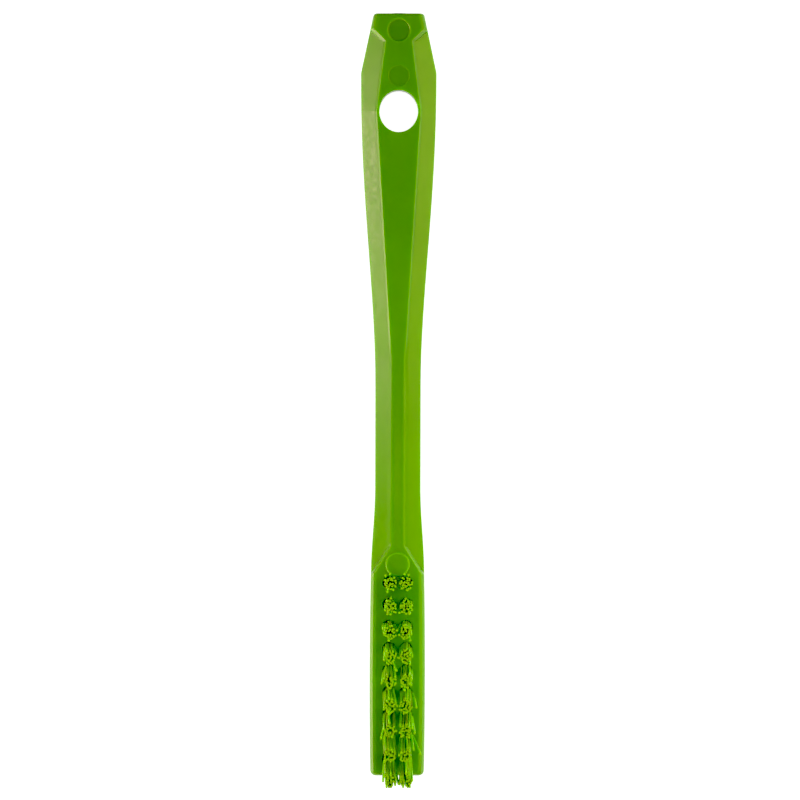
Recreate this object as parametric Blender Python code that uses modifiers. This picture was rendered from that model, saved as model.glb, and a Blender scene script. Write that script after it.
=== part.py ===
"""A narrow scrub brush: one moulded handle and head, with stapled tufts that fan towards the tip.

Lengths are in metres. The brush lies on its back with the bristles up. A place along it is
its distance from the end of the grip; the grip's end points to +Y and the head's tip to -Y.
The origin is the bottom centre of the whole brush's bounding box.
"""

import math
import random

import bmesh
import bpy
from mathutils import Matrix, Vector

# The moulding's outline, seen from above
LENGTH = 0.205
THICKNESS = 0.012
END_WIDTH = 0.0135
GRIP_WIDTH = 0.0203
NECK_WIDTH = 0.0122
HEAD_WIDTH = 0.0144
HEAD_BULGE = 0.0005
HEAD_LENGTH = 0.0535
WIDEST_AT = 0.016
TAPER_LENGTH = 0.084
TAPER_EASE = 1.15
FLARE_LENGTH = 0.024

# Its rounded edges
EDGE_RADIUS = 0.0016
LEAST_RADIUS = 0.0002
END_RADIUS = 0.0007
TIP_RADIUS = 0.0014

# The flat panel along the middle, and the facets that slope down beside it
SHOULDER_AT = 0.0073
SHOULDER_WIDTH = 0.0069
PANEL_WIDTH = 0.0117
STRIP_AT = 0.093
STRIP_WIDTH = 0.0035
ROOF_LENGTH = 0.0081
FACET_STEP = 0.00025
FACET_SLOPE = math.radians(26.5)
SHOULDER_SLANT = math.radians(45)
ROOF_SLANT = math.radians(31)
WALL_DRAFT = math.radians(8)
SHOULDER_BEVEL = 0.0008
ROOF_BEVEL = 0.0005

# The hanging hole, the round moulding marks and the gate's stub on the end
HANG_HOLE_AT = 0.0263
HANG_HOLE_WIDTH = 0.0104
HANG_HOLE_LENGTH = 0.0113
END_MARK_AT = 0.0045
END_MARK_WIDTH = 0.006
END_MARK_DEPTH = 0.0003
PIN_MARK_AT = 0.0168
PIN_MARK_WIDTH = 0.0057
PIN_MARK_DEPTH = 0.0001
HEAD_MARK_FROM_ROOF = 0.0048
HEAD_MARK_WIDTH = 0.0063
HEAD_MARK_HEIGHT = 0.0004
GATE_WIDTH = 0.0039
GATE_HEIGHT = 0.0002

# The tufts: two columns, each row leaning a little more than the row before it
ROWS = 9
FIRST_ROW_FROM_HEAD = 0.00156
LAST_ROW_FROM_TIP = 0.0045
COLUMN_PITCH = 0.00464
LEAN_STEP = math.radians(2.5)
BRISTLE_LENGTH = 0.015
TUFT_HOLE_WIDTH = 0.0034
FLOOR_UNDER_TUFTS = 0.004
FIT_GAP = 0.0003
MOUTH_DEPTH = 0.0006

# The strands of a tuft stand in a centre and two rings, and spread to their tips
STRANDS_PER_RING = (1, 7, 14)
STRAND_WIDTH = 0.00032
TUFT_TIP_WIDTH = 0.0041
TIP_SCATTER = 0.0001
LENGTH_SCATTER = 0.0003
STRAND_SEED = 7

# The flat steel anchor that holds a tuft's fold down in its hole
ANCHOR_THICKNESS = 0.00035
ANCHOR_HEIGHT = 0.0018
ANCHOR_BITE = 0.0005
FOLD_THICKNESS = 0.0009

# How finely the round shapes and the outline are divided
ROUND_STEPS = 3
STATION_PITCH = 0.0025
HANG_HOLE_SIDES = 56
MARK_SIDES = 32
GATE_SIDES = 24
TUFT_HOLE_SIDES = 20
PLUG_SIDES = 10
STRAND_SIDES = 4
SHARP_FROM = math.radians(20)

# Worked out from the sizes above
HEAD_AT = LENGTH - HEAD_LENGTH
ROOF_AT = HEAD_AT - ROOF_LENGTH
ROW_PITCH = (HEAD_LENGTH - FIRST_ROW_FROM_HEAD - LAST_ROW_FROM_TIP) / (ROWS - 1)
HOLE_DEPTH = THICKNESS - FLOOR_UNDER_TUFTS
PLUG_WIDTH = TUFT_HOLE_WIDTH - 2 * FIT_GAP
PLUG_DEPTH = HOLE_DEPTH - FIT_GAP
ANCHOR_LENGTH = TUFT_HOLE_WIDTH + 2 * ANCHOR_BITE
ANCHOR_DEPTH = PLUG_DEPTH - FOLD_THICKNESS - FIT_GAP - ANCHOR_HEIGHT / 2
OVERCUT = 0.001
ROOT_OVERLAP = 0.0005


def clear_scene():
    for old in list(bpy.data.objects):
        bpy.data.objects.remove(old, do_unlink=True)


def new_collection(name):
    made = bpy.data.collections.new(name)
    bpy.context.scene.collection.children.link(made)
    return made


def principled(name, colour, roughness, metallic=0.0):
    made = bpy.data.materials.new(name)
    made.use_nodes = True
    shader = made.node_tree.nodes["Principled BSDF"]
    shader.inputs["Base Color"].default_value = (*colour, 1.0)
    shader.inputs["Roughness"].default_value = roughness
    shader.inputs["Metallic"].default_value = metallic
    made.diffuse_color = (*colour, 1.0)
    return made


def add_object(name, mesh, collection, parent=None, material=None):
    made = bpy.data.objects.new(name, mesh)
    collection.objects.link(made)
    made.parent = parent
    if material and not mesh.materials:
        mesh.materials.append(material)
    return made


def mesh_from(bm, name):
    """Turns the bmesh into a mesh with its faces pointing out, and frees it."""
    bmesh.ops.recalc_face_normals(bm, faces=bm.faces)
    mesh = bpy.data.meshes.new(name)
    bm.to_mesh(mesh)
    bm.free()
    return mesh


def add_cutter(name, bm, cutters, parent):
    made = add_object(name, mesh_from(bm, name), cutters, parent)
    made.hide_render = True
    made.display_type = "WIRE"
    return made


def cut(obj, tool, operation="DIFFERENCE"):
    step = obj.modifiers.new(tool.name, "BOOLEAN")
    step.operation = operation
    step.solver = "EXACT"
    step.object = tool


def box(bm, low, high):
    """Adds a box between two corners."""
    low, high = Vector(low), Vector(high)
    size = Matrix.Diagonal((*(high - low), 1.0))
    bmesh.ops.create_cube(bm, size=1.0, matrix=Matrix.Translation((low + high) / 2) @ size)


def drum(bm, place, width, low, high, segments, length=None):
    """Adds an upright round or oval drum, width across X and length along Y, from low to high."""
    half = (width / 2, (length or width) / 2, high - low, 1.0)
    middle = place + Vector((0, 0, (low + high) / 2))
    bmesh.ops.create_cone(
        bm, cap_ends=True, segments=segments, radius1=1.0, radius2=1.0, depth=1.0,
        matrix=Matrix.Translation(middle) @ Matrix.Diagonal(half))


def smooth_step(share):
    share = min(max(share, 0.0), 1.0)
    return share * share * (3 - 2 * share)


def half_width(at):
    """Half the moulding's width at this distance from the grip's end."""
    if at < WIDEST_AT:
        return (END_WIDTH + (GRIP_WIDTH - END_WIDTH) * at / WIDEST_AT) / 2
    taper = smooth_step(min((at - WIDEST_AT) / TAPER_LENGTH, 1.0) ** TAPER_EASE)
    flare = smooth_step((at - HEAD_AT + FLARE_LENGTH) / FLARE_LENGTH)
    width = GRIP_WIDTH + (NECK_WIDTH - GRIP_WIDTH) * taper + (HEAD_WIDTH - NECK_WIDTH) * flare
    if at > HEAD_AT:
        from_middle = 2 * (at - HEAD_AT) / HEAD_LENGTH - 1
        width += HEAD_BULGE * (1 - from_middle ** 2)
    return width / 2


def end_inset(at):
    """How far every side draws in near an end, which rounds the end's edges."""
    if at < END_RADIUS:
        return END_RADIUS - math.sqrt(max(END_RADIUS ** 2 - (END_RADIUS - at) ** 2, 0.0))
    left = LENGTH - at
    if left < TIP_RADIUS:
        return TIP_RADIUS - math.sqrt(max(TIP_RADIUS ** 2 - (TIP_RADIUS - left) ** 2, 0.0))
    return 0.0


def stations():
    """Places of the moulding's cross-sections: close together where the ends round off."""
    turns = [math.pi / 2 * step / (ROUND_STEPS + 1) for step in range(ROUND_STEPS + 2)]
    rounded = [END_RADIUS * (1 - math.cos(turn)) for turn in turns]
    rounded += [LENGTH - TIP_RADIUS * (1 - math.cos(turn)) for turn in turns]
    first, last = END_RADIUS, LENGTH - TIP_RADIUS
    corners = [first, WIDEST_AT, last]
    even = []
    for start, end in zip(corners, corners[1:]):
        count = max(round((end - start) / STATION_PITCH), 1)
        even += [start + (end - start) * step / count for step in range(1, count)]
    return sorted(rounded + even + [WIDEST_AT])


def cross_section(at):
    """Corner points of the rounded rectangle there, as (x, z), going round once."""
    inset = end_inset(at)
    radius = max(EDGE_RADIUS - inset, LEAST_RADIUS)
    side = half_width(at) - inset - radius
    low, high = inset + radius, THICKNESS - inset - radius
    centres = ((side, low), (side, high), (-side, high), (-side, low))
    points = []
    for quarter, (x, z) in enumerate(centres):
        for step in range(ROUND_STEPS + 1):
            turn = math.pi / 2 * (quarter - 1 + step / ROUND_STEPS)
            points.append((x + radius * math.cos(turn), z + radius * math.sin(turn)))
    return points


def moulding_blank(parts, root, plastic):
    """The moulding before its facets and holes: a loft through its unlike cross-sections."""
    bm = bmesh.new()
    rings = [[bm.verts.new((x, -at, z)) for x, z in cross_section(at)] for at in stations()]
    for ring, following in zip(rings, rings[1:]):
        for a, b, c, d in zip(ring, ring[1:] + ring[:1], following[1:] + following[:1], following):
            bm.faces.new((a, b, c, d))
    bm.faces.new(rings[0])
    bm.faces.new(rings[-1])
    return add_object("handle", mesh_from(bm, "handle"), parts, root, plastic)


def panel_line(start, end):
    """A straight edge of the panel, from (place, half width) to (place, half width)."""
    (start_at, start_half), (end_at, end_half) = start, end
    return start_at, start_half, (end_half - start_half) / (end_at - start_at)


def facet_plane(line):
    """The plane of the facet beside this edge of the panel, a step lower: a point and a normal."""
    at, half, widening = line
    fall = math.tan(FACET_SLOPE)
    return Vector((half, -at, THICKNESS - FACET_STEP)), Vector((fall, widening * fall, 1.0))


def ledge_plane(line):
    """The steeper plane from this edge of the panel down to its facet."""
    at, half, widening = line
    return Vector((half, -at, THICKNESS)), Vector((1.0, widening, 1.0))


def kept_planes(at, half, slant, heading, bevel):
    """The two planes that bound what the facets leave standing: a bevel, and a drafted wall.

    The bevel is this wide on plan. Both run from the panel's edge out to the side. slant is
    the angle between them and the brush's length. heading is -1 where the facets lie on the
    tip's side of them, and +1 where they lie on the grip's side.
    """
    edge = Vector((half, -at, THICKNESS))
    out = Vector((math.cos(slant), heading * math.sin(slant), 0))
    wall = out + Vector((0, 0, math.tan(WALL_DRAFT)))
    return (edge, -out - Vector((0, 0, 1))), (edge + out * bevel, -wall)


def quarter_block(name, spare, planes, cutters, root):
    """A block over the moulding's upper right quarter, cut back to the front of each plane."""
    low = Vector((STRIP_WIDTH / 2, -LENGTH, THICKNESS / 2 + 2 * OVERCUT))
    high = Vector((GRIP_WIDTH / 2, 0, THICKNESS + 2 * OVERCUT))
    margin = Vector((spare, spare, spare))
    bm = bmesh.new()
    box(bm, low - margin, high + margin)
    for point, normal in planes:
        everything = bm.verts[:] + bm.edges[:] + bm.faces[:]
        made = bmesh.ops.bisect_plane(
            bm, geom=everything, plane_co=point, plane_no=normal, clear_inner=True)
        rim = [item for item in made["geom_cut"] if isinstance(item, bmesh.types.BMEdge)]
        bmesh.ops.edgeloop_fill(bm, edges=rim)
    return add_cutter(name, bm, cutters, root)


def cut_facets(handle, cutters, root):
    """Three facets on each side and each face, between the grip's shoulder and the head's roof."""
    shoulder = (SHOULDER_AT, SHOULDER_WIDTH / 2)
    widest = (HANG_HOLE_AT, PANEL_WIDTH / 2)
    strip = (STRIP_AT, STRIP_WIDTH / 2)
    roof = (ROOF_AT, STRIP_WIDTH / 2)
    opening, closing, level = (
        (facet_plane(line), ledge_plane(line))
        for line in (panel_line(shoulder, widest), panel_line(widest, strip), panel_line(strip, roof)))
    waste = quarter_block("facets_waste", OVERCUT, opening, cutters, root)
    neck = quarter_block("neck_facets_waste", 1.5 * OVERCUT, (*closing, *level), cutters, root)
    cut(waste, neck, "UNION")
    grip_end = kept_planes(*shoulder, SHOULDER_SLANT, -1, SHOULDER_BEVEL)
    cut(waste, quarter_block("grip_end_kept", 2 * OVERCUT, grip_end, cutters, root))
    head = kept_planes(*roof, ROOF_SLANT, 1, ROOF_BEVEL)
    cut(waste, quarter_block("head_kept", 2 * OVERCUT, head, cutters, root))

    # The mirror lies halfway up the moulding.
    waste.data.transform(Matrix.Translation((0, 0, -THICKNESS / 2)))
    waste.location.z = THICKNESS / 2
    mirror = waste.modifiers.new("mirror", "MIRROR")
    mirror.use_axis = (True, False, True)
    mirror.use_mirror_merge = False
    cut(handle, waste)


def add_marks(handle, cutters, root):
    """The raised round mark on the head, and the gate's stub on the grip's end."""
    raised = bmesh.new()
    at = ROOF_AT + HEAD_MARK_FROM_ROOF
    drum(raised, Vector((0, -at, THICKNESS)), HEAD_MARK_WIDTH, -OVERCUT, HEAD_MARK_HEIGHT,
         MARK_SIDES)
    cut(handle, add_cutter("head_mark_boss", raised, cutters, root), "UNION")
    gate = bmesh.new()
    drum(gate, Vector((0, 0, 0)), GATE_WIDTH, -OVERCUT, GATE_HEIGHT, GATE_SIDES)
    turned = Matrix.Translation((0, 0, THICKNESS / 2)) @ Matrix.Rotation(-math.pi / 2, 4, "X")
    bmesh.ops.transform(gate, verts=gate.verts, matrix=turned)
    cut(handle, add_cutter("gate_boss", gate, cutters, root), "UNION")


def cut_hole_and_marks(handle, cutters, root):
    hole = bmesh.new()
    drum(hole, Vector((0, -HANG_HOLE_AT, 0)), HANG_HOLE_WIDTH, -OVERCUT, THICKNESS + OVERCUT,
         HANG_HOLE_SIDES, length=HANG_HOLE_LENGTH)
    cut(handle, add_cutter("hanging_hole_waste", hole, cutters, root))
    sunk = bmesh.new()
    for at, width, depth in ((END_MARK_AT, END_MARK_WIDTH, END_MARK_DEPTH),
                             (PIN_MARK_AT, PIN_MARK_WIDTH, PIN_MARK_DEPTH)):
        drum(sunk, Vector((0, -at, THICKNESS)), width, -depth, OVERCUT, MARK_SIDES)
    cut(handle, add_cutter("sunk_marks_waste", sunk, cutters, root))


def tuft_places():
    """Each tuft's row, side and frame: origin at its hole's mouth, +Z along the tuft."""
    places = []
    for row in range(ROWS):
        lean = Matrix.Rotation(LEAN_STEP * row, 4, "X")
        at = HEAD_AT + FIRST_ROW_FROM_HEAD + ROW_PITCH * row
        for side, x in (("left", -COLUMN_PITCH / 2), ("right", COLUMN_PITCH / 2)):
            places.append((row, side, Matrix.Translation((x, -at, THICKNESS)) @ lean))
    return places


def cut_tuft_holes(handle, places, cutters, root):
    """Blind holes along each tuft, and in each hole's wall the two slots its anchor bites."""
    bores, slots = bmesh.new(), bmesh.new()
    half_slot = Vector((ANCHOR_THICKNESS / 2, ANCHOR_LENGTH / 2, ANCHOR_HEIGHT / 2))
    half_slot += Vector((FIT_GAP, FIT_GAP, FIT_GAP))
    centre = Vector((0, 0, -ANCHOR_DEPTH))
    for _, _, frame in places:
        bore, slot = bmesh.new(), bmesh.new()
        drum(bore, Vector((0, 0, 0)), TUFT_HOLE_WIDTH, -HOLE_DEPTH, 2 * OVERCUT,
             TUFT_HOLE_SIDES)
        box(slot, centre - half_slot, centre + half_slot)
        for small, whole in ((bore, bores), (slot, slots)):
            piece = bpy.data.meshes.new("piece")
            small.to_mesh(piece)
            small.free()
            piece.transform(frame)
            whole.from_mesh(piece)
            bpy.data.meshes.remove(piece)
    cut(handle, add_cutter("tuft_bores_waste", bores, cutters, root))
    cut(handle, add_cutter("anchor_slots_waste", slots, cutters, root))


def plug_mesh(parts):
    """A tuft's folded root in its hole, with a window through it for the anchor."""
    root_bundle, window = bmesh.new(), bmesh.new()
    drum(root_bundle, Vector((0, 0, 0)), PLUG_WIDTH, -PLUG_DEPTH, -MOUTH_DEPTH, PLUG_SIDES)
    half = Vector((ANCHOR_THICKNESS / 2 + FIT_GAP, PLUG_WIDTH, ANCHOR_HEIGHT / 2 + FIT_GAP))
    centre = Vector((0, 0, -ANCHOR_DEPTH))
    box(window, centre - half, centre + half)
    plug = add_object("plug", mesh_from(root_bundle, "plug"), parts)
    tool = add_object("window", mesh_from(window, "window"), parts)
    cut(plug, tool)
    graph = bpy.context.evaluated_depsgraph_get()
    made = bpy.data.meshes.new_from_object(plug.evaluated_get(graph))
    bpy.data.objects.remove(plug)
    bpy.data.objects.remove(tool)
    return made


def strand_lines(row, chance):
    """Root and tip of each strand in the tuft's frame. The tips are trimmed to one level."""
    corner_to_corner = STRAND_WIDTH * math.sqrt(2)
    outer = (PLUG_WIDTH * math.cos(math.pi / PLUG_SIDES) - corner_to_corner) / 2
    widening = (TUFT_TIP_WIDTH - corner_to_corner) / 2 / outer
    lean = LEAN_STEP * row
    start = -MOUTH_DEPTH - ROOT_OVERLAP
    lines = []
    for ring, count in enumerate(STRANDS_PER_RING):
        radius = outer * ring / (len(STRANDS_PER_RING) - 1)
        shift = chance.uniform(0, math.tau)
        for strand in range(count):
            turn = shift + math.tau * strand / count
            out = Vector((math.cos(turn), math.sin(turn), 0)) * radius
            scatter = Vector((chance.uniform(-1, 1), chance.uniform(-1, 1), 0)) * TIP_SCATTER
            tip = out * widening + scatter
            trimmed = BRISTLE_LENGTH - chance.uniform(0, LENGTH_SCATTER)
            tip.z = (trimmed - tip.y * math.sin(lean)) / math.cos(lean)
            lines.append((out + Vector((0, 0, start)), tip, turn))
    return lines


def strand(bm, root, tip, turn):
    """Adds one straight four-sided bristle from root to tip."""
    along = tip - root
    aim = along.to_track_quat("Z", "Y").to_matrix().to_4x4()
    place = Matrix.Translation((root + tip) / 2) @ aim @ Matrix.Rotation(turn, 4, "Z")
    corner = STRAND_WIDTH / math.sqrt(2)
    bmesh.ops.create_cone(
        bm, cap_ends=True, segments=STRAND_SIDES, radius1=corner, radius2=corner,
        depth=along.length, matrix=place)


def add_tufts(places, parts, cutters, root, bristle):
    """One object for each tuft: its root plug, and its strands fused to the plug's top."""
    chance = random.Random(STRAND_SEED)
    plug = plug_mesh(parts)
    tips = []
    for row, side, frame in places:
        name = f"tuft_r{row + 1}_{side}"
        bundle = bmesh.new()
        for start, tip, turn in strand_lines(row, chance):
            strand(bundle, start, tip, turn)
            tips.append(frame @ tip)
        tuft = add_object(name, plug.copy(), parts, root, bristle)
        tool = add_cutter(f"strands_r{row + 1}_{side}", bundle, cutters, root)
        tuft.matrix_local = frame
        tool.matrix_local = frame
        cut(tuft, tool, "UNION")
    bpy.data.meshes.remove(plug)
    return tips


def add_anchors(places, parts, root, steel):
    """A flat steel anchor across each tuft's fold, its ends in the slots of the hole's wall."""
    half = Vector((ANCHOR_THICKNESS, ANCHOR_LENGTH, ANCHOR_HEIGHT)) / 2
    shape = bmesh.new()
    box(shape, -half, half)
    mesh = mesh_from(shape, "anchor")
    for row, side, frame in places:
        anchor = add_object(f"anchor_r{row + 1}_{side}", mesh, parts, root, steel)
        anchor.matrix_local = frame @ Matrix.Translation((0, 0, -ANCHOR_DEPTH))


def round_shading(obj):
    obj.data.shade_smooth()
    obj.data.set_sharp_from_angle(angle=SHARP_FROM)


def main():
    clear_scene()
    parts = new_collection("scrub_brush")
    cutters = new_collection("cutters")
    root = bpy.data.objects.new("brush_origin", None)
    parts.objects.link(root)
    plastic = principled("green_polypropylene", (0.15, 0.37, 0.002), 0.35)
    bristle = principled("green_bristle", (0.24, 0.5, 0.004), 0.3)
    steel = principled("stainless_wire", (0.6, 0.6, 0.58), 0.3, 1.0)

    handle = moulding_blank(parts, root, plastic)
    add_marks(handle, cutters, root)
    cut_facets(handle, cutters, root)
    cut_hole_and_marks(handle, cutters, root)
    places = tuft_places()
    cut_tuft_holes(handle, places, cutters, root)
    round_shading(handle)
    tips = add_tufts(places, parts, cutters, root, bristle)
    add_anchors(places, parts, root, steel)

    # The box runs from the gate's stub to the furthest strand's edge.
    lowest = min(tip.y for tip in tips) - STRAND_WIDTH / 2
    root.location.y = -(lowest + GATE_HEIGHT) / 2
    bpy.context.view_layer.update()


main()
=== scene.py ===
"""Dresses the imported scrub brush: a filleted moulding, full tufts of filaments, light and camera.

Lengths are in metres, in the frame's axes. The brush lies on its back with its bristles up,
the grip's end at +Y and the head's tip at -Y.
"""
import math
import random

import bmesh
import bpy
from mathutils import Matrix, Vector


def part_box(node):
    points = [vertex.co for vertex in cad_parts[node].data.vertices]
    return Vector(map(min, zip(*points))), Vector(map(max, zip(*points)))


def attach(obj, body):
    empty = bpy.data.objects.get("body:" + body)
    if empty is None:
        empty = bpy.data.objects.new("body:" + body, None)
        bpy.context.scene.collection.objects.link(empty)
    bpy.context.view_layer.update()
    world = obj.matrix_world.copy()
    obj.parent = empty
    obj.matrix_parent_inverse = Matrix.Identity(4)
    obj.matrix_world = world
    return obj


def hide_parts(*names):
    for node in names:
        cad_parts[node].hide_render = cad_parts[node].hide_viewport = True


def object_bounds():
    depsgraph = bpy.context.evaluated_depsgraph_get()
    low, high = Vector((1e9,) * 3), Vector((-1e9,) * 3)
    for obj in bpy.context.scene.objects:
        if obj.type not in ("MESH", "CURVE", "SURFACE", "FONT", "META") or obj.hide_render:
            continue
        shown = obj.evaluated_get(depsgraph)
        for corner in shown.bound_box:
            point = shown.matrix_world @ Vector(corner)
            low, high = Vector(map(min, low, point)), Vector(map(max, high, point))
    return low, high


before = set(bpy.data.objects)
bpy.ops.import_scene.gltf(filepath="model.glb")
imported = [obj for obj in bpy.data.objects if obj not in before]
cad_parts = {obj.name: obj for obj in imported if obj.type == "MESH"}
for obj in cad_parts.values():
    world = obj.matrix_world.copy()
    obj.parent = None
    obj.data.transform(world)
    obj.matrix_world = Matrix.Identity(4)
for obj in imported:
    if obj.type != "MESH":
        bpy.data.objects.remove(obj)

MM = 0.001
CAD_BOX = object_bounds()

# What the CAD model's own sizes say
FACE_HEIGHT = 12 * MM
GATE_HEIGHT = 0.2 * MM
TOP_HEIGHT = 27 * MM
ROWS = 9
LEAN_STEP = math.radians(2.5)
SIDES = ("left", "right")
END_MARK_AT, PIN_MARK_AT, HEAD_MARK_AT = 4.5 * MM, 16.8 * MM, 148.2 * MM

# The moulding's fillets. Beside the strip along the neck the edges are softer: from how far
# off the grip's end, and how far off the middle, with the lengths over which that fades
MERGE_WITHIN = 0.001 * MM
VOXEL = 0.15 * MM
SMOOTHING = 0.5
FILLET_PASSES = 1
NECK_PASSES = 215
NECK_FROM, NECK_FULL, NECK_TO = 88 * MM, 100 * MM, 143.2 * MM
NECK_FADE = 1.0 * MM
STRIP_REACH, STRIP_FADE = 3.4 * MM, 1.0 * MM
MOULDING_TRIANGLES = 190000

# Painted shade where less light falls: over the grip, the neck, the head's tip and inside the
# marks; painted highlights on the marks' rims
# Round painted shade and painted highlights in the moulding's colour: how far off the grip's end,
# width, soft edge, change
PAINTED_SHADE_AND_HIGHLIGHTS = (
    # painted shade over the plateau at the grip's end
    (0.0, 16 * MM, 8 * MM, -0.07),
    # painted shade over the grip, fading out towards the neck
    (0.0, 190 * MM, 60 * MM, -0.15),
    # painted shade over the neck
    (118 * MM, 60 * MM, 40 * MM, -0.06),
    # painted shade at the head's tip, under the leaning tufts
    (205 * MM, 30 * MM, 20 * MM, -0.08),
    # painted shade inside the recessed end mark
    (END_MARK_AT, 6.1 * MM, 0.3 * MM, -0.16),
    # painted highlight on the end mark's rim
    (END_MARK_AT, 6.7 * MM, 0.4 * MM, 0.10),
    # painted shade inside the shallow pin mark
    (PIN_MARK_AT, 5.7 * MM, 0.5 * MM, -0.07),
    # the raised head mark: a little painted shade inside, and a painted highlight on its rim
    (HEAD_MARK_AT, 5.9 * MM, 0.4 * MM, -0.28),
    (HEAD_MARK_AT, 6.6 * MM, 0.3 * MM, 0.24))

# The tufts
FILAMENTS = 34
FILAMENT_WIDTH = 0.53 * MM
FILAMENT_SIDES = 8
FILAMENT_STEPS = 5
BUNDLE_WIDTH = 3.35 * MM
CROWDING = 0.42
TIP_WIDTH = 3.9 * MM
TIP_LENGTH = 4.2 * MM
TIP_FLARE = 1.08
TIP_JITTER = 0.26 * MM
TIP_SHIFT = {"left": 0.4 * MM, "right": -0.05 * MM}
MOUTH_SHIFT = {"left": 0.03 * MM, "right": 0.0}
BOW = 0.2 * MM
TRIM_SCATTER = 0.3 * MM
CUT_RIM = 0.04 * MM
SUNK = 4 * MM
TUFT_SEED = 11

# Filaments that stand out of their tuft: row, side, and how far the tip lies off (x, y)
STRAYS = (
    (1, "left", -0.4 * MM, -2.3 * MM),
    (1, "left", -0.9 * MM, 2.2 * MM),
    (1, "left", 0.3 * MM, 2.6 * MM),
    (1, "right", -0.5 * MM, 2.5 * MM),
    (1, "right", 0.7 * MM, 2.3 * MM),
    (2, "left", 0.6 * MM, 2.5 * MM),
    (2, "right", -0.1 * MM, 2.5 * MM),
    (3, "left", 0.0 * MM, -2.2 * MM),
    (3, "right", 1.2 * MM, -2.1 * MM),
    (4, "left", 2.1 * MM, -3.6 * MM),
    (5, "left", -1.9 * MM, -0.4 * MM),
    (6, "right", 2.8 * MM, -0.3 * MM),
    (7, "left", -2.0 * MM, -1.9 * MM),
    (7, "right", 2.4 * MM, -0.6 * MM),
    (8, "right", 4.0 * MM, 0.5 * MM),
    (8, "right", 2.1 * MM, 1.6 * MM),
    (9, "left", -0.5 * MM, -1.6 * MM),
    (9, "left", 0.1 * MM, -1.6 * MM),
    (9, "left", 0.7 * MM, -2.1 * MM),
    (9, "left", 1.8 * MM, -1.1 * MM),
    (9, "left", 2.7 * MM, -0.8 * MM),
    (9, "right", -0.7 * MM, -2.2 * MM),
    (9, "right", 1.1 * MM, -2.3 * MM))

# The photograph's frame
PHOTO_SIDE = 800
MM_PER_PIXEL = 0.2694
CENTRE_LINE_X = 398.0
BRUSH_TILT = math.radians(0.14)
GRIP_END_Y = 14.0
CAMERA_DISTANCE = 3.0
SENSOR = 36.0

# The studio: its room, its floor, and its lights, each with its place along the brush, turn
# from +X over the top, distance, length, height, radiance and colour. A light aims at the
# nearest point of the brush's middle line between AIM_FROM and AIM_TO
WHITE = (1.0, 1.0, 1.0)
LEFT_TINT = (0.9, 1.0, 1.0)
RIGHT_TINT = (0.73, 1.0, 0.42)
STRIP_TINT = (0.65, 1.0, 0.83)
CEILING_TINT = (0.73, 1.0, 0.42)
WARM = (1.0, 1.0, 0.6)
ROOM_RADIANCE = 0.14
FLOOR_RADIANCE = 1.0
FLOOR_REACH = 4.0
FLOOR_CELLS = 8
FLOOR_DROP = 0.1 * MM
AIM_FROM, AIM_TO, AIM_HEIGHT = -0.11, 0.13, 0.01
LIGHTS = (
    ("left_key", 0.058, 143, 0.27, 0.104, 0.072, 9.2, LEFT_TINT),
    ("left_far", 0.13, 143, 0.3, 0.12, 0.08, 1.6, WHITE),
    ("left_strip", -1.1, 173, 2.0, 3.0, 0.31, 15.5, WHITE),
    ("right_key", 0.05, 37, 0.3, 0.12, 0.08, 3.4, RIGHT_TINT),
    ("right_far", 0.13, 37, 0.3, 0.12, 0.08, 3.3, RIGHT_TINT),
    ("right_near", -0.11, 60, 0.3, 0.12, 0.08, 1.8, RIGHT_TINT),
    ("right_strip", 0.8, 7, 2.0, 4.0, 0.31, 4.0, STRIP_TINT),
    ("right_edge", 0.09, 17, 0.3, 0.08, 0.05, 4.5, WARM),
    ("right_low", -0.25, 8, 0.35, 0.2, 0.08, 5.0, WHITE),
    ("left_near", -0.12, 158, 0.3, 0.12, 0.08, 2.8, WHITE),
    ("neck_top", -0.022, 90, 0.13, 0.03, 0.02, 2.8, WHITE),
    ("right_ceiling", 0.0, 49, 1.2, 1.5, 0.38, 3.1, CEILING_TINT))
BLACK_LEVEL = 0.035


def node_material(name):
    """A new material with its Principled shader: (material, nodes, links, shader)."""
    made = bpy.data.materials.new(name)
    made.use_nodes = True
    tree = made.node_tree
    return made, tree.nodes, tree.links, tree.nodes["Principled BSDF"]


def noise(nodes, links, coords, scale, detail=2.0, stretch=(1, 1, 1)):
    """A noise texture in the object's own coordinates, scale in waves a metre."""
    mapping = nodes.new("ShaderNodeMapping")
    mapping.inputs["Scale"].default_value = stretch
    links.new(coords, mapping.inputs["Vector"])
    made = nodes.new("ShaderNodeTexNoise")
    made.inputs["Scale"].default_value = scale
    made.inputs["Detail"].default_value = detail
    links.new(mapping.outputs["Vector"], made.inputs["Vector"])
    return made.outputs["Fac"]


def ramp(nodes, links, value, stops):
    """Colours along a value: stops are (position, (r, g, b))."""
    made = nodes.new("ShaderNodeValToRGB")
    elements = made.color_ramp.elements
    while len(elements) < len(stops):
        elements.new(0.5)
    for element, (position, colour) in zip(elements, stops):
        element.position = position
        element.color = (*colour, 1.0)
    links.new(value, made.inputs["Fac"])
    return made.outputs["Color"]


def spread(nodes, links, value, low, high, start=0.3, end=0.7):
    """Maps start..end, by default a noise's middle range, to low..high."""
    made = nodes.new("ShaderNodeMapRange")
    made.inputs["From Min"].default_value = start
    made.inputs["From Max"].default_value = end
    made.inputs["To Min"].default_value = low
    made.inputs["To Max"].default_value = high
    links.new(value, made.inputs["Value"])
    return made.outputs["Result"]


def bump(nodes, links, height, distance, under=None):
    """Bumps of this distance, laid over the normal underneath if one is given."""
    made = nodes.new("ShaderNodeBump")
    made.inputs["Strength"].default_value = 1.0
    made.inputs["Distance"].default_value = distance
    links.new(height, made.inputs["Height"])
    if under:
        links.new(under, made.inputs["Normal"])
    return made.outputs["Normal"]


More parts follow.
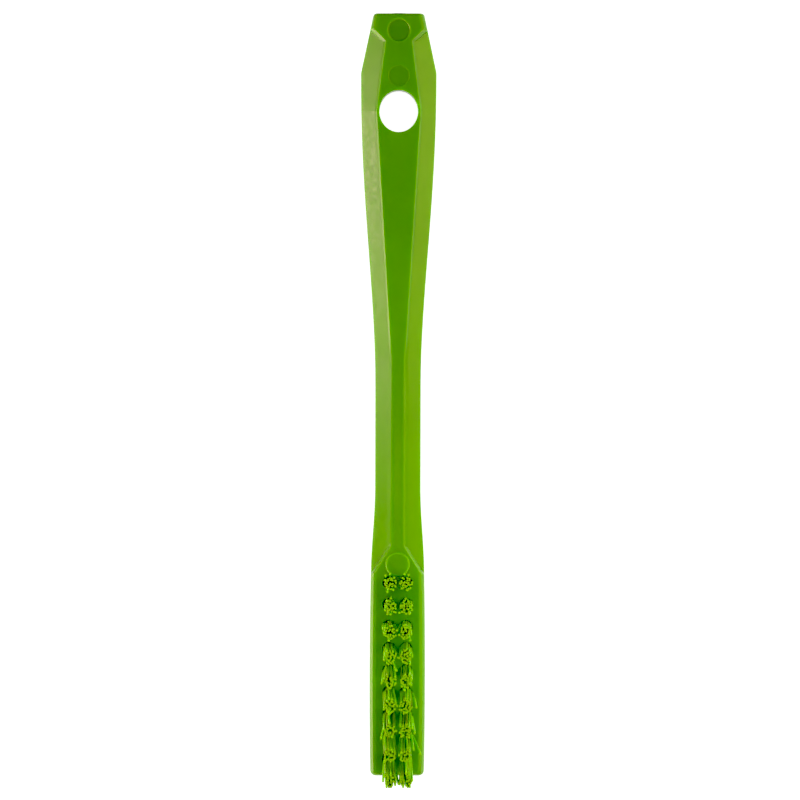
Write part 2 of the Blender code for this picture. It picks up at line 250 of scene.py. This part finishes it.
def disc(nodes, links, coords, place, width, soft):
    """1 inside a circle round this place along the brush, 0 outside it, with a soft edge."""
    flat = nodes.new("ShaderNodeVectorMath")
    flat.operation = "MULTIPLY"
    flat.inputs[1].default_value = (1, 1, 0)
    links.new(coords, flat.inputs[0])
    apart = nodes.new("ShaderNodeVectorMath")
    apart.operation = "DISTANCE"
    apart.inputs[1].default_value = (0, place, 0)
    links.new(flat.outputs["Vector"], apart.inputs[0])
    inner, outer = (width - soft) / 2, (width + soft) / 2
    return spread(nodes, links, apart.outputs["Value"], 1.0, 0.0, inner, outer)


def sum_of(nodes, links, first, *terms):
    """first plus each value times its weight."""
    total = first
    for value, weight in terms:
        step = nodes.new("ShaderNodeMath")
        step.operation = "MULTIPLY_ADD"
        step.inputs[1].default_value = weight
        links.new(value, step.inputs[0])
        if isinstance(total, float):
            step.inputs[2].default_value = total
        else:
            links.new(total, step.inputs[2])
        total = step.outputs["Value"]
    return total


def polypropylene():
    """The moulding's translucent green plastic: satin, with orange peel, and with painted shade and
    painted highlights in its colour along the brush and round its moulding marks.
    """
    made, nodes, links, shader = node_material("green_polypropylene")
    coords = nodes.new("ShaderNodeTexCoord").outputs["Object"]
    _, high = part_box("handle")
    end = high[1] - GATE_HEIGHT
    cloud = noise(nodes, links, coords, 45, 3.0)
    colour = ramp(nodes, links, cloud, (
        (0.3, (0.172, 0.434, 0.0022)),
        (0.7, (0.202, 0.484, 0.0044))))
    # Round patches of painted shade and painted highlight, multiplied into the plastic's colour
    painted_discs = [(disc(nodes, links, coords, end - place, width, soft), change)
              for place, width, soft, change in PAINTED_SHADE_AND_HIGHLIGHTS]
    painted_light = sum_of(nodes, links, 1.0, *painted_discs)
    painted_colour = nodes.new("ShaderNodeVectorMath")
    painted_colour.operation = "SCALE"
    links.new(colour, painted_colour.inputs[0])
    links.new(painted_light, painted_colour.inputs["Scale"])
    links.new(painted_colour.outputs["Vector"], shader.inputs["Base Color"])
    peel = noise(nodes, links, coords, 800, 1.0)
    grain = noise(nodes, links, coords, 5200, 2.0)
    links.new(spread(nodes, links, peel, 0.28, 0.38), shader.inputs["Roughness"])
    normal = bump(nodes, links, peel, 0.006 * MM)
    links.new(bump(nodes, links, grain, 0.0008 * MM, normal), shader.inputs["Normal"])
    shader.inputs["Subsurface Weight"].default_value = 1.0
    shader.inputs["Subsurface Radius"].default_value = (1.7, 2.6, 0.4)
    shader.inputs["Subsurface Scale"].default_value = 1.3 * MM
    shader.inputs["IOR"].default_value = 1.49
    shader.inputs["Specular IOR Level"].default_value = 0.72
    shader.inputs["Specular Tint"].default_value = (1.0, 0.58, 0.55, 1.0)
    return made


def filament_plastic():
    """The filaments' sides: smooth, streaked along their length."""
    made, nodes, links, shader = node_material("green_filament")
    coords = nodes.new("ShaderNodeTexCoord").outputs["Object"]
    streak = noise(nodes, links, coords, 900, 2.0, (1, 1, 0.06))
    links.new(ramp(nodes, links, streak, (
        (0.3, (0.27, 0.64, 0.003)),
        (0.7, (0.36, 0.76, 0.006)))), shader.inputs["Base Color"])
    links.new(spread(nodes, links, streak, 0.40, 0.5), shader.inputs["Roughness"])
    links.new(bump(nodes, links, streak, 0.004 * MM), shader.inputs["Normal"])
    shader.inputs["Subsurface Weight"].default_value = 1.0
    shader.inputs["Subsurface Radius"].default_value = (1.4, 2.0, 0.3)
    shader.inputs["Subsurface Scale"].default_value = 1.0 * MM
    shader.inputs["IOR"].default_value = 1.56
    shader.inputs["Specular IOR Level"].default_value = 0.3
    shader.inputs["Specular Tint"].default_value = (0.9, 0.8, 0.25, 1.0)
    return made


def filament_cut():
    """The filaments' cut ends: matt, because the blade leaves them rough, and pale, partly from
    that rough cut and partly as a painted glow of light coming out of the filaments' ends.
    """
    made, nodes, links, shader = node_material("green_filament_cut")
    coords = nodes.new("ShaderNodeTexCoord").outputs["Object"]
    rough = noise(nodes, links, coords, 4000, 2.0)
    # The paler colour is partly the rough cut and partly a painted glow at the lit ends of the
    # filaments
    links.new(ramp(nodes, links, rough, (
        (0.3, (0.36, 0.63, 0.02)),
        (0.7, (0.46, 0.72, 0.04)))), shader.inputs["Base Color"])
    links.new(spread(nodes, links, rough, 0.35, 0.5), shader.inputs["Roughness"])
    links.new(bump(nodes, links, rough, 0.01 * MM), shader.inputs["Normal"])
    return made


def anchor_steel():
    """The anchors' drawn and flattened stainless wire, with streaks along its length."""
    made, nodes, links, shader = node_material("stainless_wire")
    coords = nodes.new("ShaderNodeTexCoord").outputs["Object"]
    streak = noise(nodes, links, coords, 3000, 2.0, (1, 0.05, 1))
    links.new(ramp(nodes, links, streak, (
        (0.3, (0.50, 0.50, 0.48)),
        (0.7, (0.64, 0.64, 0.62)))), shader.inputs["Base Color"])
    links.new(spread(nodes, links, streak, 0.25, 0.4), shader.inputs["Roughness"])
    links.new(bump(nodes, links, streak, 0.003 * MM), shader.inputs["Normal"])
    shader.inputs["Metallic"].default_value = 1.0
    return made


def mesh_of(bm, name):
    """A mesh with the bmesh's faces. The bmesh is freed."""
    mesh = bpy.data.meshes.new(name)
    bm.to_mesh(mesh)
    bm.free()
    return mesh


def add_piece(name, mesh, slot, *nodes):
    """A piece of the scene that rides on the brush and stands for these CAD nodes."""
    piece = bpy.data.objects.new(name, mesh)
    bpy.context.scene.collection.objects.link(piece)
    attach(piece, "root")
    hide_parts(*nodes)
    return piece


def finished(piece):
    """Turns the piece's modifiers into its mesh."""
    graph = bpy.context.evaluated_depsgraph_get()
    made = bpy.data.meshes.new_from_object(piece.evaluated_get(graph))
    piece.modifiers.clear()
    old, piece.data = piece.data, made
    bpy.data.meshes.remove(old)


def fade(value, start, end):
    """0 before start, 1 after end, and even between them."""
    return min(max((value - start) / (end - start), 0.0), 1.0)


def neck_softness(piece):
    """A vertex group that is full beside the strip along the neck, whose edges are softest."""
    _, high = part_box("handle")
    group = piece.vertex_groups.new(name="neck")
    for vertex in piece.data.vertices:
        along = high[1] - GATE_HEIGHT - vertex.co.y
        weight = fade(along, NECK_FROM, NECK_FULL) * (1 - fade(along, NECK_TO - NECK_FADE, NECK_TO))
        weight *= 1 - fade(abs(vertex.co.x), STRIP_REACH, STRIP_REACH + STRIP_FADE)
        if weight:
            group.add([vertex.index], weight, "REPLACE")
    return group.name


def add_moulding():
    """The CAD handle's shape, every edge filleted: remeshed finely, smoothed, then thinned."""
    bm = bmesh.new()
    bm.from_mesh(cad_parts["handle"].data)
    bmesh.ops.remove_doubles(bm, verts=bm.verts, dist=MERGE_WITHIN)
    piece = add_piece("moulding", mesh_of(bm, "moulding"), "green_polypropylene", "handle")
    remesh = piece.modifiers.new("remesh", "REMESH")
    remesh.mode = "VOXEL"
    remesh.voxel_size = VOXEL
    remesh.use_smooth_shade = True
    finished(piece)
    fillets = piece.modifiers.new("fillets", "SMOOTH")
    fillets.factor = SMOOTHING
    fillets.iterations = FILLET_PASSES
    neck = piece.modifiers.new("neck", "SMOOTH")
    neck.factor = SMOOTHING
    neck.iterations = NECK_PASSES
    neck.vertex_group = neck_softness(piece)
    finished(piece)
    thin = piece.modifiers.new("thin", "DECIMATE")
    quads = len(piece.data.polygons)
    thin.ratio = MOULDING_TRIANGLES / (2 * quads)
    piece.modifiers.new("even", "WEIGHTED_NORMAL")
    finished(piece)
    piece.data.materials.clear()
    piece.data.materials.append(polypropylene())
    return piece


def tuft_axis(row, side):
    """The middle of a tuft's hole at the face of the head, and the direction of the hole."""
    low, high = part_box(f"anchor_r{row}_{side}")
    centre = (Vector(low) + Vector(high)) / 2
    lean = LEAN_STEP * (row - 1)
    axis = Vector((0, -math.sin(lean), math.cos(lean)))
    return centre + axis * ((FACE_HEIGHT - centre.z) / axis.z), axis


def sunflower(count, width):
    """Places in a circle of this width, a little closer together towards its rim."""
    golden = math.pi * (3 - math.sqrt(5))
    for index in range(count):
        radius = width / 2 * ((index + 0.5) / count) ** CROWDING
        yield Vector((math.cos(index * golden), math.sin(index * golden), 0)) * radius


def filament(bm, root, tip, bow, top):
    """A round filament from root to tip: bowed sideways, flared, and cut level at height top."""
    along = (tip - root).normalized()
    across = along.orthogonal().normalized()
    other = along.cross(across)
    rim, cut = FILAMENT_STEPS, FILAMENT_STEPS + 1
    rings = []
    for step in range(cut + 1):
        share = min(step / FILAMENT_STEPS, 1.0)
        centre = root.lerp(tip, share) + bow * math.sin(math.pi * share)
        radius = FILAMENT_WIDTH / 2
        level = top - CUT_RIM
        if step >= rim:
            radius *= TIP_FLARE
        if step == cut:
            radius -= CUT_RIM
            level = top
        ring = []
        for side in range(FILAMENT_SIDES):
            turn = math.tau * side / FILAMENT_SIDES
            corner = centre + (across * math.cos(turn) + other * math.sin(turn)) * radius
            if step >= rim:
                corner += along * ((level - corner.z) / along.z)
            ring.append(bm.verts.new(corner))
        rings.append(ring)
    for ring, following in zip(rings, rings[1:]):
        for a, b, c, d in zip(ring, ring[1:] + ring[:1], following[1:] + following[:1], following):
            bm.faces.new((a, b, c, d)).smooth = True
    bm.faces.new(rings[0][::-1])
    bm.faces.new(rings[-1]).material_index = 1


def add_tuft(row, side, chance, materials):
    """A full tuft: filaments that stand in the hole, spread to their tips and are cut level."""
    mouth, axis = tuft_axis(row, side)
    lean = axis.rotation_difference(Vector((0, 0, 1))).inverted().to_matrix()
    strays = [stray[2:] for stray in STRAYS if stray[:2] == (row, side)]
    spin = Matrix.Rotation(chance.uniform(0, math.tau), 3, "Z")
    bm = bmesh.new()
    for index, place in enumerate(sunflower(FILAMENTS, BUNDLE_WIDTH - FILAMENT_WIDTH)):
        place = spin @ place
        top = TOP_HEIGHT - chance.uniform(0, TRIM_SCATTER)
        jitter = Vector((chance.gauss(0, 1), chance.gauss(0, 1), 0)) * TIP_JITTER
        bow = Vector((chance.uniform(-1, 1), chance.uniform(-1, 1), 0)) * BOW
        off = Vector((place.x * TIP_WIDTH, place.y * TIP_LENGTH, 0)) / BUNDLE_WIDTH + jitter
        off.x += TIP_SHIFT[side]
        if index >= FILAMENTS - len(strays):
            stray = Vector((*strays[index - FILAMENTS], 0))
            place = stray.normalized() * (BUNDLE_WIDTH - FILAMENT_WIDTH) / 2
            off = stray
        reach = (top - FACE_HEIGHT) / axis.z
        tip = mouth + axis * reach + off
        tip.y = max(tip.y, CAD_BOX[0][1] + FILAMENT_WIDTH)
        tip.z = top
        place.x += MOUTH_SHIFT[side]
        start = mouth + lean @ place - axis * SUNK
        filament(bm, start, tip, bow, top)
    mesh = mesh_of(bm, f"filaments_r{row}_{side}")
    for material in materials:
        mesh.materials.append(material)
    return add_piece(mesh.name, mesh, "green_bristle", f"tuft_r{row}_{side}")


def add_tufts():
    """All the tufts, with chance from one seed, so that each run gives the same ones."""
    chance = random.Random(TUFT_SEED)
    materials = (filament_plastic(), filament_cut())
    for row in range(1, ROWS + 1):
        for side in SIDES:
            add_tuft(row, side, chance, materials)


def dress_anchors():
    """Gives the CAD model's anchors, which stay, their steel."""
    steel = anchor_steel()
    for name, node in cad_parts.items():
        if name.startswith("anchor_"):
            for slot in node.material_slots:
                slot.material = steel


def add_floor():
    """A glowing white floor that is seen and reflected, but casts no light on the brush."""
    bm = bmesh.new()
    bmesh.ops.create_grid(bm, x_segments=FLOOR_CELLS, y_segments=FLOOR_CELLS, size=FLOOR_REACH)
    mesh = mesh_of(bm, "floor")
    floor = bpy.data.objects.new("floor", mesh)
    floor.location.z = -FLOOR_DROP
    floor.visible_diffuse = False
    bpy.context.scene.collection.objects.link(floor)
    made, _, _, shader = node_material("white_table")
    shader.inputs["Base Color"].default_value = (0.4, 0.4, 0.4, 1.0)
    shader.inputs["Roughness"].default_value = 0.8
    shader.inputs["Specular IOR Level"].default_value = 0.1
    shader.inputs["Emission Color"].default_value = (1.0, 1.0, 1.0, 1.0)
    shader.inputs["Emission Strength"].default_value = FLOOR_RADIANCE
    mesh.materials.append(made)


def add_light(name, along, turn, distance, long, high, radiance, colour):
    """A rectangular soft light beside the brush, long in the level direction."""
    light = bpy.data.lights.new(name, "AREA")
    light.shape = "RECTANGLE"
    light.size = long
    light.size_y = high
    light.energy = radiance * math.pi * long * high
    light.color = colour
    made = bpy.data.objects.new(name, light)
    bpy.context.scene.collection.objects.link(made)
    turn = math.radians(turn)
    made.location = (distance * math.cos(turn), along, distance * math.sin(turn))
    target = Vector((0, min(max(along, AIM_FROM), AIM_TO), AIM_HEIGHT))
    aim = target - made.location
    made.rotation_euler = aim.to_track_quat("-Z", "Y").to_euler()
    made.visible_camera = False


def add_studio():
    """Soft lights on both sides of the brush in an even, dim room."""
    for light in LIGHTS:
        add_light(*light)
    world = bpy.data.worlds.new("studio")
    bpy.context.scene.world = world
    world.use_nodes = True
    ground = world.node_tree.nodes["Background"]
    ground.inputs["Color"].default_value = (1.0, 1.0, 1.0, 1.0)
    ground.inputs["Strength"].default_value = ROOM_RADIANCE


def set_view():
    """Plain sRGB with a slightly raised black point, which deepens the colours."""
    view = bpy.context.scene.view_settings
    view.view_transform = "Standard"
    view.use_curve_mapping = True
    view.curve_mapping.black_level = (BLACK_LEVEL, BLACK_LEVEL, BLACK_LEVEL)
    view.curve_mapping.update()


def add_camera():
    """Straight above, framed as the photograph is, a little turned against the brush."""
    _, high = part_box("handle")
    metres_per_pixel = MM_PER_PIXEL * MM
    data = bpy.data.cameras.new("camera")
    camera = bpy.data.objects.new("camera", data)
    bpy.context.scene.collection.objects.link(camera)
    data.sensor_width = SENSOR
    data.lens = SENSOR * CAMERA_DISTANCE / (PHOTO_SIDE * metres_per_pixel)
    camera.location = (
        (PHOTO_SIDE / 2 - CENTRE_LINE_X) * metres_per_pixel,
        high[1] - GATE_HEIGHT - (PHOTO_SIDE / 2 - GRIP_END_Y) * metres_per_pixel,
        FACE_HEIGHT / 2 + CAMERA_DISTANCE)
    camera.rotation_euler = (0, 0, BRUSH_TILT)
    bpy.context.scene.camera = camera


add_moulding()
add_tufts()
dress_anchors()
add_floor()
add_studio()
add_camera()
set_view()
